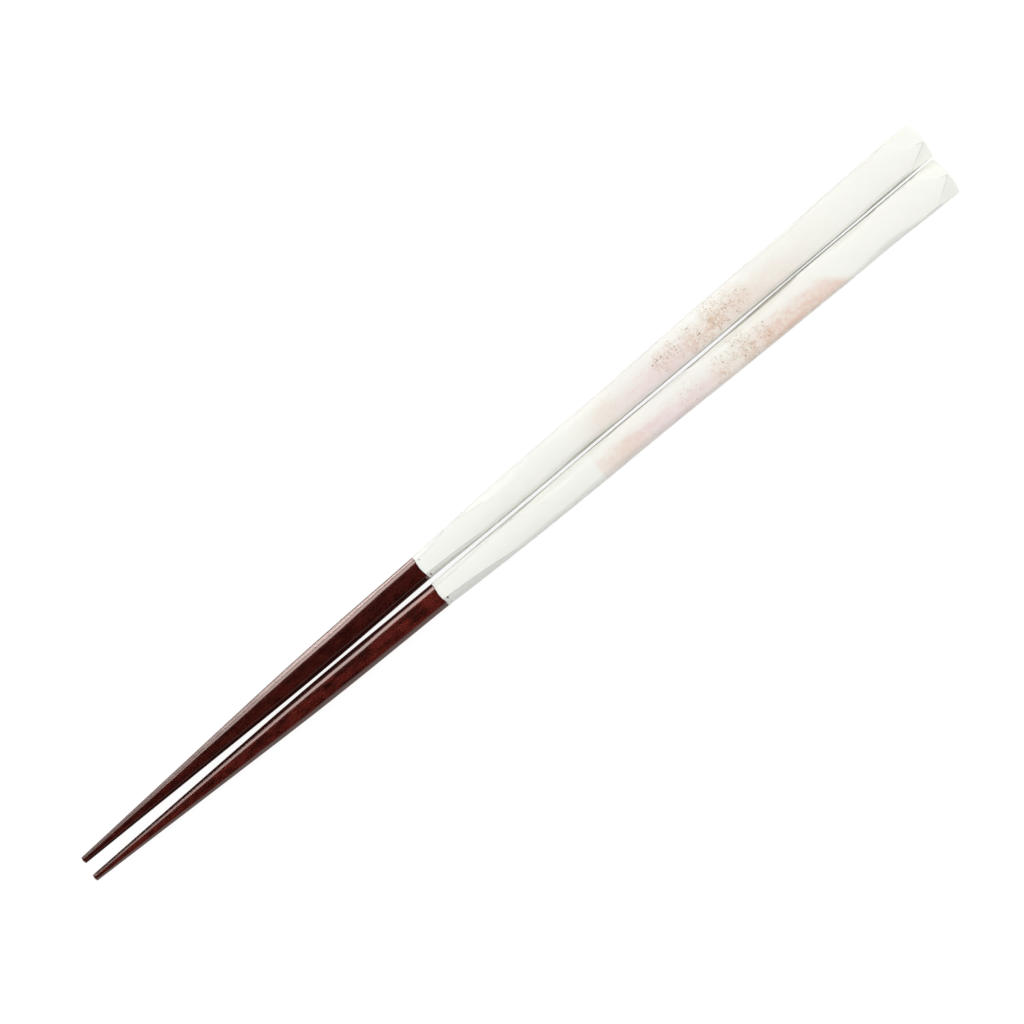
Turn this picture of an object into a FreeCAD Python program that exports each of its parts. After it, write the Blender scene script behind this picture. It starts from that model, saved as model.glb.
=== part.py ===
import FreeCAD, Part
import math
import os

# A pair of table chopsticks lying flat, side by side. Sizes are in millimetres.
# Each stick is a dark wooden shaft glued into a cast resin handle: a round tenon on
# the shaft fills a blind socket in the handle. The handle starts at the shaft's own
# section, flares through a short neck, widens slowly and ends in a diamond butt.
#
# A stick is drawn on its own axis, with x = 0 at the tip, x rising to the butt and
# its four flats facing +-Y and +-Z. The shaft and the neck have a slight set towards
# the other stick. Each stick is then laid on the underside of its handle and turned
# so that the inner sides of the two handles run side by side.
# In the finished part +X points from the tips to the butts, the sticks rest on z = 0
# and the origin is the bottom centre of the pair. Stick 1 lies on the +Y side.

V = FreeCAD.Vector
AXIS = V(1, 0, 0)
ORIGIN = V(0, 0, 0)

# Lengths along the stick
stick_length = 225.0
joint_from_tip = 91.0
knee_from_tip = 59.5        # the quick taper of the tip ends here
knee_blend = 14.0           # rounded stretch each side of the knee
neck_length = 19.0          # the handle flares this far from the joint
neck_blend = 8.0            # rounded stretch each side of the neck's end

# Widths across the flats
tip_width = 1.5
knee_width = 5.49
joint_width = 5.68
neck_width = 6.75
butt_width = 8.6

# Corner bevels, each given as its leg: what it takes off a flat at that corner
tip_bevel_leg = 0.44
joint_bevel_leg = 1.0
butt_bevel_leg = 0.6

# Crown of the cast handle's four sides, and the domes of the two ends
crown_at_joint = 0.12
crown_at_butt = 0.32
tip_dome_radius = 1.6
butt_dome_radius = 14.0

# Glued joint
tenon_diameter = 3.2
tenon_length = 14.0
glue_film = 0.05            # all round the tenon
glue_pocket = 0.5           # past the tenon's end

# The pair at rest
set_angle = 0.31            # degrees that shaft and neck lean towards the other stick
pair_gap = 0.4              # between the inner sides of the handles
pair_stagger = 0.5          # stick 2 lies this much further towards the tips

# Long shallow hollows shaved into the handle. Each one is
# (distance from the joint, reach either way, depth below the plain surface).
hollows_left = {
    1: [(22.0, 11.0, 0.51), (45.0, 10.0, 0.45), (77.0, 15.0, 0.55), (110.0, 8.0, 0.16)],
    2: [(34.0, 14.0, 0.71), (82.0, 15.0, 0.78), (110.0, 8.0, 0.51)],
}
hollows_right = {
    1: [(0.0, 12.0, 0.21), (40.0, 9.0, 0.26), (86.0, 8.0, 0.18), (122.0, 7.0, 0.22)],
    2: [(0.0, 16.0, 0.50), (53.0, 19.0, 0.18), (115.0, 7.0, 0.38)],
}
shoulders_right = {
    1: [(0.0, 12.0, 0.30)],
    2: [(0.0, 16.0, 0.59)],
}
outer_side_hollows = {
    1: [(52.0, 14.0, 0.10), (100.0, 12.0, 0.14)],
    2: [(60.0, 14.0, 0.10), (115.0, 10.0, 0.16)],
}
bend_steps = 3              # flat steps in each half of a rounded bend
corner_facing = 45.0        # a corner hollow faces this far above its side of the stick
shoulder_facing = 22.5      # the same for a shoulder, which is cut steeper

# Slanting facets that cut the butt to a diamond: (length along the corner, leg at
# the end) for the left and the right corners
facet_left = {1: (11.3, 5.2), 2: (8.4, 4.4)}
facet_right = {1: (7.6, 3.4), 2: (6.4, 4.2)}

# Worked out from the above
neck_from_tip = joint_from_tip + neck_length
handle_slope = (butt_width - neck_width) / 2.0 / (stick_length - neck_from_tip)
lay_angle = math.degrees(math.atan(handle_slope))
room = 4.0 * max(butt_width, neck_width, joint_width, knee_width)   # wider than any section


def eased(ahead, blend):
    """Zero before a bend and `ahead` after it, rounded over `blend` each side."""
    if ahead <= -blend:
        return 0.0
    if ahead >= blend:
        return ahead
    return (ahead + blend) ** 2 / (4.0 * blend)


def two_tapers(x, start, bend, end, blend):
    """Value at x on two even tapers, each point given as (x, value)."""
    first = (bend[1] - start[1]) / (bend[0] - start[0])
    second = (end[1] - bend[1]) / (end[0] - bend[0])
    ahead = x - bend[0]
    return bend[1] + first * ahead + (second - first) * eased(ahead, blend)


def shaft_half(x):
    """Half the width across the shaft's flats."""
    tip = (0.0, tip_width / 2.0)
    knee = (knee_from_tip, knee_width / 2.0)
    joint = (joint_from_tip, joint_width / 2.0)
    return two_tapers(x, tip, knee, joint, knee_blend)


def shaft_leg(x):
    """The shaft's bevel leg, which keeps its full size from the knee on."""
    tip = (0.0, tip_bevel_leg)
    knee = (knee_from_tip, joint_bevel_leg)
    joint = (joint_from_tip, joint_bevel_leg)
    return two_tapers(x, tip, knee, joint, knee_blend)


def half_width(x):
    """Half the width across the plain handle's flats."""
    joint = (joint_from_tip, joint_width / 2.0)
    neck = (neck_from_tip, neck_width / 2.0)
    butt = (stick_length, butt_width / 2.0)
    return two_tapers(x, joint, neck, butt, neck_blend)


def inward_shift(x):
    """How far the set moves the stick's axis towards the other stick."""
    ahead = x - neck_from_tip
    return math.tan(math.radians(set_angle)) * (eased(ahead, neck_blend) - ahead)


def along_handle(x, at_joint, at_butt):
    """A value that changes evenly from the joint to the butt."""
    share = (x - joint_from_tip) / (stick_length - joint_from_tip)
    return at_joint + (at_butt - at_joint) * share


def crown(x):
    return along_handle(x, crown_at_joint, crown_at_butt)


def bevel_leg(x):
    return along_handle(x, joint_bevel_leg, butt_bevel_leg)


def inward(stick):
    """The side on which the other stick lies: -Y of stick 1, +Y of stick 2."""
    return {1: -1.0, 2: 1.0}[stick]


def bend_stations(bend, blend):
    """Evenly spaced places through a rounded bend."""
    return [bend + step * blend / bend_steps for step in range(-bend_steps, bend_steps + 1)]


def shaft_section(x, stick):
    """The eight corners of the shaft's section: a square with bevelled corners."""
    half = shaft_half(x)
    reach = half - shaft_leg(x)
    shift = V(0, inward(stick) * inward_shift(x), 0)
    corners = []
    for quarter in range(4):
        turn = FreeCAD.Rotation(AXIS, -90.0 * quarter)
        for across in (-reach, reach):
            corners.append(turn.multVec(V(x, across, half)) + shift)
    return corners


def flat_sided_solid(sections):
    """Solid with flat faces between sections that have as many corners each."""
    faces = [Part.Face(Part.makePolygon(end + end[:1])) for end in (sections[0], sections[-1])]
    for near, far in zip(sections, sections[1:]):
        for here in range(len(near)):
            after = (here + 1) % len(near)
            loop = [near[here], near[after], far[after], far[here], near[here]]
            faces.append(Part.Face(Part.makePolygon(loop)))
    return Part.Solid(Part.Shell(faces))


def rounded_end(x_end, radius, towards):
    """A ball that domes the end at x_end, joined to a bar over the rest of the stick."""
    centre = V(x_end - towards * radius, 0, 0)
    bar = Part.makeCylinder(room, 2.0 * stick_length, centre, V(-towards, 0, 0))
    return Part.makeSphere(radius, centre).fuse(bar)


def set_towards_other(shape, stick):
    """Lean the straight tenon, or its socket, about the neck's end."""
    shape.rotate(V(neck_from_tip, 0, 0), V(0, 0, 1), -inward(stick) * set_angle)
    return shape


def make_shaft(stick):
    """Wooden shaft: square taper with bevelled corners, domed tip and round tenon."""
    stations = [0.0] + bend_stations(knee_from_tip, knee_blend) + [joint_from_tip]
    shaft = flat_sided_solid([shaft_section(x, stick) for x in stations])
    tip_cap = rounded_end(0.0, tip_dome_radius, -1.0)
    tip_cap.translate(V(0, inward(stick) * inward_shift(0.0), 0))
    shaft = shaft.common(tip_cap)
    tenon_start = V(joint_from_tip - tenon_length / 2.0, 0, 0)
    tenon = Part.makeCylinder(tenon_diameter / 2.0, 1.5 * tenon_length, tenon_start, AXIS)
    return shaft.fuse(set_towards_other(tenon, stick))


def handle_section(x, stick):
    """Outline of the plain handle: four crowned sides joined by straight bevels."""
    half = half_width(x)
    shoulder = half - crown(x)
    reach = half - bevel_leg(x)
    top = [V(x, -reach, shoulder), V(x, 0, half), V(x, reach, shoulder)]
    edges = []
    for quarter in range(4):
        turn = FreeCAD.Rotation(AXIS, -90.0 * quarter)
        following = FreeCAD.Rotation(AXIS, -90.0 * (quarter + 1))
        side = [turn.multVec(point) for point in top]
        edges.append(Part.Arc(*side).toShape())
        edges.append(Part.makeLine(side[2], following.multVec(top[0])))
    wire = Part.Wire(edges)
    wire.translate(V(0, inward(stick) * inward_shift(x), 0))
    return wire


def plain_reach(x, facing):
    """How far the plain handle reaches from its axis, facing an angle off its side."""
    turn = math.radians(facing)
    if facing == 0.0:
        return half_width(x)
    return math.cos(turn) * (half_width(x) - crown(x)) + math.sin(turn) * (half_width(x) - bevel_leg(x))


def hollow_cutter(facing, from_joint, reach, depth):
    """Round bar lying across the stick on its +Y side, to shave one hollow."""
    x = joint_from_tip + from_joint
    bottom = plain_reach(x, facing) - depth
    tilt = math.atan(plain_reach(x + 1.0, facing) - plain_reach(x, facing))
    radius = reach ** 2 / (2.0 * depth)
    centre = V(x - radius * math.sin(tilt), bottom + radius * math.cos(tilt), -room / 2.0)
    bar = Part.makeCylinder(radius, room, centre)
    bar.rotate(ORIGIN, AXIS, facing)
    return bar


def facet_cutter(length, leg):
    """Block that cuts the slanting facet off the corner between +Y and +Z at the butt."""
    dome_depth = butt_dome_radius - math.sqrt(butt_dome_radius ** 2 - (butt_width / 2.0) ** 2)
    x_end = stick_length - dome_depth
    half_end = half_width(x_end)
    half_start = half_width(x_end - length)
    on_top = V(x_end, half_end - leg, half_end)
    on_side = V(x_end, half_end, half_end - leg)
    on_corner = V(x_end - length, half_start, half_start)
    outward = (on_top - on_corner).cross(on_side - on_corner)
    block = Part.makeBox(2.0 * room, 2.0 * room, room, V(-room, -room, 0))
    block.Placement = FreeCAD.Placement(on_corner, FreeCAD.Rotation(V(0, 0, 1), outward))
    return block


def on_both_ends_of_diagonal(cutter):
    """The cutter on one upper corner, and on the lower corner opposite it."""
    below = cutter.copy()
    below.rotate(ORIGIN, AXIS, 180.0)
    return [cutter, below]


def make_handle(stick):
    """Cast handle: flared neck, crowned sides, shaved corners, diamond butt, socket."""
    stations = [joint_from_tip] + bend_stations(neck_from_tip, neck_blend) + [stick_length]
    handle = Part.makeLoft([handle_section(x, stick) for x in stations], True, True)

    left = [hollow_cutter(corner_facing, *hollow) for hollow in hollows_left[stick]]
    left.append(facet_cutter(*facet_left[stick]))
    right = [hollow_cutter(corner_facing, *hollow) for hollow in hollows_right[stick]]
    right += [hollow_cutter(shoulder_facing, *hollow) for hollow in shoulders_right[stick]]
    right.append(facet_cutter(*facet_right[stick]))
    right = [cutter.mirror(ORIGIN, V(0, 1, 0)) for cutter in right]
    for cutter in left + right:
        for tool in on_both_ends_of_diagonal(cutter):
            handle = handle.cut(tool)

    for hollow in outer_side_hollows[stick]:
        cutter = hollow_cutter(0.0, *hollow)
        if inward(stick) > 0:
            cutter = cutter.mirror(ORIGIN, V(0, 1, 0))
        handle = handle.cut(cutter)

    handle = handle.common(rounded_end(stick_length, butt_dome_radius, 1.0))
    socket_radius = tenon_diameter / 2.0 + glue_film
    socket_start = V(joint_from_tip - glue_pocket, 0, 0)
    socket_length = tenon_length + 2.0 * glue_pocket
    socket = Part.makeCylinder(socket_radius, socket_length, socket_start, AXIS)
    return handle.cut(set_towards_other(socket, stick))


def lay_down(shape, stick):
    """Rest the stick on its handle and turn the handle's inner side along the pair."""
    away = -inward(stick)
    straight_half = neck_width / 2.0 - handle_slope * neck_from_tip
    level = straight_half * math.cos(math.radians(lay_angle))
    shape.rotate(ORIGIN, V(0, 1, 0), -lay_angle)
    shape.rotate(ORIGIN, V(0, 0, 1), away * lay_angle)
    shape.translate(V(0, away * (pair_gap / 2.0 + level), level))
    if stick == 2:
        shape.translate(V(-pair_stagger, 0, 0))
    return shape


def make_pair():
    """The four pieces of the pair, with the origin at the pair's bottom centre."""
    pieces = {}
    for stick in (1, 2):
        pieces[f"shaft_{stick}"] = lay_down(make_shaft(stick), stick)
        pieces[f"handle_{stick}"] = lay_down(make_handle(stick), stick)
    box = Part.makeCompound(list(pieces.values())).optimalBoundingBox(False)
    for shape in pieces.values():
        shape.translate(V(-box.Center.x, -box.Center.y, 0))
    return pieces


def main():
    os.makedirs("parts", exist_ok=True)
    for name, shape in make_pair().items():
        shape.exportStep(f"parts/{name}.step")


main()
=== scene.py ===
import math

import bmesh
import bpy
import numpy as np
from bpy.props import FloatProperty, FloatVectorProperty, PointerProperty
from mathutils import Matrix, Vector


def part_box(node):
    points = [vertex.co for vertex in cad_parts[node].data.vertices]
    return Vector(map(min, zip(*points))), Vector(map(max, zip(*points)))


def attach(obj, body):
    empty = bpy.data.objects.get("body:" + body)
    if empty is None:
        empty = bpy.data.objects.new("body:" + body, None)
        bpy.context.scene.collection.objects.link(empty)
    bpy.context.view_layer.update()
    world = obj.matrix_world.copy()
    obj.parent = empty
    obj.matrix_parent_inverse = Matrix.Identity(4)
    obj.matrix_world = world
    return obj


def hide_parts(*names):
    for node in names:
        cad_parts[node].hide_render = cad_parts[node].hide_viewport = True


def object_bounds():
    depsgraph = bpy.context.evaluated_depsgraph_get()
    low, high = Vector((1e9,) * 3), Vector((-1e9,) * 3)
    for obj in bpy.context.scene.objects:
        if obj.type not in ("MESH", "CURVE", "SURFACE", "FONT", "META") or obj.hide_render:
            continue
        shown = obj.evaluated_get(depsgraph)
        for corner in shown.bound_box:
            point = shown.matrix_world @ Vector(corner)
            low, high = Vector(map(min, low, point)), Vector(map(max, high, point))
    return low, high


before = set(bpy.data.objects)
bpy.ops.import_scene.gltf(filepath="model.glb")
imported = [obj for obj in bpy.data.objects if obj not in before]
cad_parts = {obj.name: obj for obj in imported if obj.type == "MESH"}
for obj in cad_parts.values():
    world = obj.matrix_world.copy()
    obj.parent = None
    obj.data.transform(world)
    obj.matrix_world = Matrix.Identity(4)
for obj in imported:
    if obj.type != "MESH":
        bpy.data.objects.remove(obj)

CAD_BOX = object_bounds()

bl_info = {
    "name": "Table Chopsticks",
    "version": (1, 0, 0),
    "blender": (4, 5, 0),
    "location": "View3D > Sidebar > Chopsticks",
    "description": "A pair of wooden chopsticks with cast resin handles, laid side by side",
    "category": "Add Mesh",
}

# Shapes are worked out on each stick's own axis, in millimetres: x = 0 at the tip, the
# four flats facing +-Y and +-Z. lay_down then puts them in the frame, in metres.
STICKS = (1, 2)
INWARD = {1: -1.0, 2: 1.0}      # the side of each stick on which the other one lies
MM = 0.001

# Long shallow hollows shaved into the corners of the handles, each one
# (distance from the joint, reach either way, depth below the plain surface). The left
# corners are +Y +Z and the one opposite it, the right ones the other two. Shoulders are
# steeper cuts in the same corners, beside the Y sides.
HOLLOWS_LEFT = {
    1: [(23.0, 9.5, 0.51), (45.0, 10.0, 0.45), (77.0, 15.0, 0.55), (110.0, 8.0, 0.16)],
    2: [(34.0, 14.0, 0.71), (82.0, 15.0, 0.78), (110.0, 8.0, 0.51)],
}
HOLLOWS_RIGHT = {
    1: [(0.0, 12.0, 0.15), (40.0, 9.0, 0.14), (86.0, 8.0, 0.12), (122.0, 7.0, 0.22)],
    2: [(0.0, 16.0, 0.42), (53.0, 19.0, 0.18), (115.0, 7.0, 0.38)],
}
SHOULDERS_LEFT = {1: [(60.0, 12.0, 0.08)], 2: [(25.0, 16.0, 0.48), (85.0, 14.0, 0.60)]}
SHOULDERS_RIGHT = {
    1: [(2.0, 14.0, 0.40), (42.0, 10.0, 0.38), (91.0, 11.0, 0.30)],
    2: [(0.0, 16.0, 0.60), (27.0, 7.0, 0.16), (63.0, 8.0, 0.22), (90.0, 12.0, 0.26)],
}
OUTER_SIDE_HOLLOWS = {
    1: [(52.0, 14.0, 0.10), (100.0, 12.0, 0.14)],
    2: [(60.0, 14.0, 0.10), (115.0, 10.0, 0.16)],
}
# The first stick's left corners are left fuller here: (distance from the joint, reach
# either way, how much narrower the corner cut is)
FULL_NECK = {1: (9.5, 7.0, 0.40)}
# Where the handles' facing sides swell (or, below 0, fall back), given in the same way
INNER_SWELLS = {
    1: [(92.0, 26.0, 0.09)],
    2: [(92.0, 24.0, 0.09), (27.0, 26.0, -0.20), (70.0, 34.0, -0.26)],
}
# Slanting facets that cut the butt to a diamond: (length along the corner, leg at the end)
FACET_LEFT = {1: (11.3, 5.2), 2: (8.4, 4.4)}
FACET_RIGHT = {1: (7.6, 3.4), 2: (6.4, 4.2)}

# Gold dust and warm patches in the resin: (distance from the joint, distance across from
# the stick's middle, reach, weight)
DUST_CLUSTERS = {
    1: [(64.2, -0.7, 2.7, 1.0), (67.4, -0.5, 2.8, 0.75), (71.8, -1.0, 3.6, 0.8),
        (78.6, 0.0, 4.1, 1.0), (83.8, -0.3, 3.6, 0.8)],
    2: [(65.0, -0.8, 3.6, 0.35), (73.2, -0.6, 3.4, 0.55), (79.0, -0.3, 4.2, 0.9),
        (84.0, -0.6, 3.0, 0.6)],
}
WARM_PATCHES = {
    1: [(77.3, -1.4, 2.4, 1.0), (75.4, -2.8, 1.8, 0.9), (71.5, -2.0, 2.6, 0.4)],
    2: [(73.0, -1.6, 1.5, 0.7), (80.0, -1.4, 2.6, 0.5), (84.5, -1.6, 2.4, 0.5),
        (89.0, -3.0, 4.5, 0.5), (94.5, -3.2, 4.0, 0.4)],
}

# Dark pits by the joint, given in the same way
RIM_PITS = {
    1: [(0.85, 0.37, 0.22, 0.6), (0.80, -3.35, 0.26, 1.0)],
    2: [(0.85, -0.2, 0.30, 1.0), (0.85, -1.4, 0.24, 0.7)],
}

# Bends and crowns of the plain shapes
KNEE_BLEND = 14.0
NECK_BLEND = 8.0
TIP_LEG = 0.44
JOINT_LEG = 1.0
BUTT_LEG = 0.6
WOOD_CROWN = 0.05
CROWN_AT_JOINT = 0.12
CROWN_AT_BUTT = 0.32
FACE_CROWN_AT_NECK = 0.27       # the faces themselves bow a little more than the cuts allow for
FACE_CROWN_AT_BUTT = 0.42
WORN_CUT = 0.10                 # how much deeper the shaft's worn corner is cut
NEAT_CUT = 0.07                 # and how much less deep at the joint
WORN_RUN = (2.0, 24.0)          # before the joint: where one turns into the other
TIP_DOME = 1.6
BUTT_DOME = 14.0
TENON_RADIUS = 1.6
TENON_LENGTH = 14.0
GLUE_FILM = 0.05
GLUE_POCKET = 0.5
HOLLOW_BLEND = 0.02             # softens the ends of the hollows
LIP_SWELL = 0.7                 # how far along the handle its swollen lip reaches
LIP_WALL = 0.02                 # least thickness of the lip's edge
SEAT_GAP = 0.005                # between the lip's seat and the wood's flats
END_GAP = 0.01                  # between the wood's end and the resin behind it

# Slow unevenness of hand finishing: (height, wavelength, seed of the waves)
WOOD_SIDE_WAVE = (0.012, 31.0, 10)
WOOD_CUT_WAVE = (0.030, 23.0, 50)
RESIN_SIDE_WAVE = (0.02, 41.0, 90)

# Rounding of the handle's ridges. The two upper ones, left and right, are soft along the
# middle and only worn by the joint and at the butt. The others are crisper. Shares are of
# the crisp radius, except that the right one's are of the soft radius.
WORN_SHARE = 1.7
OUTER_SHARE = 3.2               # the first stick's outer side
OTHER_SHARE = 1.4               # all other ridges
RIGHT_SHARE = 1.2
RIGHT_SHARE_MORE = 0.35         # what the right ridge's roundest run adds
ROUNDEST_RUN = ((38.0, 46.0), (98.0, 88.0))     # where that starts and ends, from the joint
SOFT_FROM = {1: (17.0, 12.0), 2: (22.0, 16.0)}  # from the joint, left and right
SOFT_EASE = (7.0, 10.0)                         # and over what length
SOFT_UNTIL = ((1.5, 5.0), (8.0, 13.0))          # from the butt: where worn, and where soft
CRISP_BUTT = (12.0, 6.0)        # from the butt: where all other ridges turn crisp

# How finely the surfaces are divided
STATION_STEP = 0.4
FACE_SHARES = (0.0, 0.06, 0.2, 0.36, 0.5, 0.64, 0.8, 0.94, 1.0)
CUT_SHARES = (0.08, 0.35, 0.65, 0.92, 1.0)
EDGE_SHARES = (0.2, 0.4, 0.6, 0.8, 1.0)
SHOULDER_SHARES = (0.5, 1.0)
RIM_ANGLES = (30.0, 60.0, 90.0)
CAP_SHARES = (0.92, 0.75, 0.55, 0.35, 0.15)
RIM_ROUNDS = 5                  # tries that settle where a column meets a domed end
MERGE_DISTANCE = 2e-6           # metres, as is the next
SLIVER = 1e-7
SHARP_ANGLE = math.radians(50.0)
RIDGE_SEEN = (0.42, 0.22)       # a ridge this round doesn't show, and one this tight does
UNDERSIDE = 3                   # sides count round from +Y, corner n between sides n and n + 1
CORNER = math.radians(45.0)     # a corner cut faces this far off its two sides
SHOULDER = math.radians(16.0)   # and a shoulder this far off the +Y or -Y side
QUARTER = math.radians(90.0)


def length_setting(name, description, default):
    return FloatProperty(name=name, description=description, default=default, unit="LENGTH")


def power_setting(name, description, default):
    return FloatProperty(name=name, description=description, default=default, unit="POWER")


def colour_setting(name, description, default):
    return FloatVectorProperty(name=name, description=description, default=default, subtype="COLOR")


class SizeSettings(bpy.types.PropertyGroup):
    """Sizes of the pair that a user would change."""
    stick_length: length_setting("Stick Length", "From the tip to the butt", 0.225)
    joint_from_tip: length_setting("Joint", "Where the handle starts, from the tip", 0.091)
    knee_from_tip: length_setting("Knee", "Where the quick taper of the tip ends", 0.0595)
    neck_length: length_setting("Neck Length", "How far the handle flares from the joint", 0.019)
    tip_width: length_setting("Tip Width", "Across the flats at the tip", 0.0015)
    knee_width: length_setting("Knee Width", "Across the flats at the knee", 0.00549)
    joint_width: length_setting("Joint Width", "Across the flats at the joint", 0.00568)
    neck_width: length_setting("Neck Width", "Across the flats at the neck's end", 0.00675)
    butt_width: length_setting("Butt Width", "Across the flats at the butt", 0.0086)
    set_angle: FloatProperty(
        name="Set", description="How far shaft and neck lean towards the other stick",
        default=math.radians(0.31), subtype="ANGLE")
    ridge_radius: length_setting("Crisp Ridge", "Rounding of the handle's crisp ridges", 0.00015)
    soft_ridge: length_setting("Soft Ridge", "Rounding of the handle's polished ridges", 0.00140)
    wood_ridge: length_setting(
        "Wood Edge Radius", "Rounding of the shaft's edges at the joint", 0.00062)
    wood_worn_ridge: length_setting(
        "Worn Edge Radius", "Rounding of the shaft's most worn edge at the joint", 0.00160)
    lip_overlap: length_setting(
        "Lip Overlap", "How far the resin creeps over the wood at mid-side", 0.00024)
    lip_rise: length_setting("Lip Rise", "How far the resin swells at the joint", 0.00007)


class FinishSettings(bpy.types.PropertyGroup):
    """Colours of the wood and the resin, in linear values."""
    wood_deep: colour_setting(
        "Deep Wood", "Dark grain of the lacquered wood", (0.015, 0.0009, 0.0004))
    wood_warm: colour_setting(
        "Warm Wood", "Lighter red grain of the wood", (0.110, 0.0070, 0.0030))
    resin_cream: colour_setting(
        "Cream Resin", "Plain colour of the handles", (0.895, 0.897, 0.840))
    resin_rose: colour_setting(
        "Cool Pink", "Cooler tint in the middle of the clouded band", (0.80, 0.56, 0.575))
    resin_pink: colour_setting(
        "Warm Pink", "Tint of the ends of the clouded band", (0.80, 0.585, 0.500))
    gold_dust: colour_setting(
        "Gold Dust", "Tarnished specks sprinkled over the band", (0.27, 0.130, 0.055))


class StageSettings(bpy.types.PropertyGroup):
    """Camera, lamps and floor."""
    view_width: length_setting(
        "View Width", "What the camera sees across, at the sticks' mid-height", 0.2079)
    view_turn: FloatProperty(
        name="View Turn", description="How far the pair slants in the picture",
        default=math.radians(40.146), subtype="ANGLE")
    view_height: length_setting("View Height", "Height of the camera above the floor", 1.3)
    key_power: power_setting("Key Lamp", "Tall soft lamp on the +Y side", 4.3)
    low_power: power_setting(
        "Low Lamp", "Low lamp on the +Y side that only reflections show", 1.8)
    overhead_power: power_setting(
        "Overhead Lamp", "Large soft lamp that reflections don't show", 15.2)
    end_power: power_setting("End Lamp", "Soft lamp near the butts", 0.9)
    horizon_light: FloatProperty(
        name="Horizon Light", description="Strength of the studio near the horizon", default=0.25)
    zenith_light: FloatProperty(
        name="Zenith Light", description="Strength of the studio overhead", default=0.005)


class Sizes:
    """The size settings in millimetres, and what is worked out from them."""

    def __init__(self, settings):
        self.length = settings.stick_length / MM
        self.joint = settings.joint_from_tip / MM
        self.knee = settings.knee_from_tip / MM
        self.neck = self.joint + settings.neck_length / MM
        self.tip_half = settings.tip_width / MM / 2.0
        self.knee_half = settings.knee_width / MM / 2.0
        self.joint_half = settings.joint_width / MM / 2.0
        self.neck_half = settings.neck_width / MM / 2.0
        self.butt_half = settings.butt_width / MM / 2.0
        self.set_slope = math.tan(settings.set_angle)
        self.ridge = settings.ridge_radius / MM
        self.soft_ridge = settings.soft_ridge / MM
        self.wood_ridge = settings.wood_ridge / MM
        self.worn_ridge = settings.wood_worn_ridge / MM
        self.lip_overlap = settings.lip_overlap / MM
        self.lip_rise = settings.lip_rise / MM
        self.handle_slope = (self.butt_half - self.neck_half) / (self.length - self.neck)
        self.lay_angle = math.atan(self.handle_slope)


# ---- shapes along the stick -------------------------------------------------------

def eased(ahead, blend):
    """Zero before a bend and `ahead` after it, rounded over `blend` each side."""
    rounded = (np.clip(ahead, -blend, blend) + blend) ** 2 / (4.0 * blend)
    return np.where(ahead >= blend, ahead, rounded)


def two_tapers(x, start, bend, end, blend):
    """Value at x on two even tapers, each point given as (x, value)."""
    first = (bend[1] - start[1]) / (bend[0] - start[0])
    second = (end[1] - bend[1]) / (end[0] - bend[0])
    ahead = x - bend[0]
    return bend[1] + first * ahead + (second - first) * eased(ahead, blend)


def soft_least(values, blend=HOLLOW_BLEND):
    """The least of several arrays, rounded where two of them cross."""
    values = np.stack(values)
    least = values.min(axis=0)
    return least - blend * np.log(np.exp(-(values - least) / blend).sum(axis=0))


def slow_wave(x, seed, wavelength):
    """Gentle unevenness of about unit height along the stick."""
    phases = np.random.default_rng(seed).uniform(0.0, 2.0 * math.pi, 4)
    stretches = (1.0, 0.61, 0.37, 0.23)
    waves = [share * np.sin(2.0 * math.pi * x / (wavelength * share) + phase)
             for share, phase in zip(stretches, phases)]
    return sum(waves) / sum(stretches)


def ease_in(x, low, high):
    """0 at low and 1 at high, eased between; low may be the larger one."""
    share = np.clip((x - low) / (high - low), 0.0, 1.0)
    return share * share * (3.0 - 2.0 * share)


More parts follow.
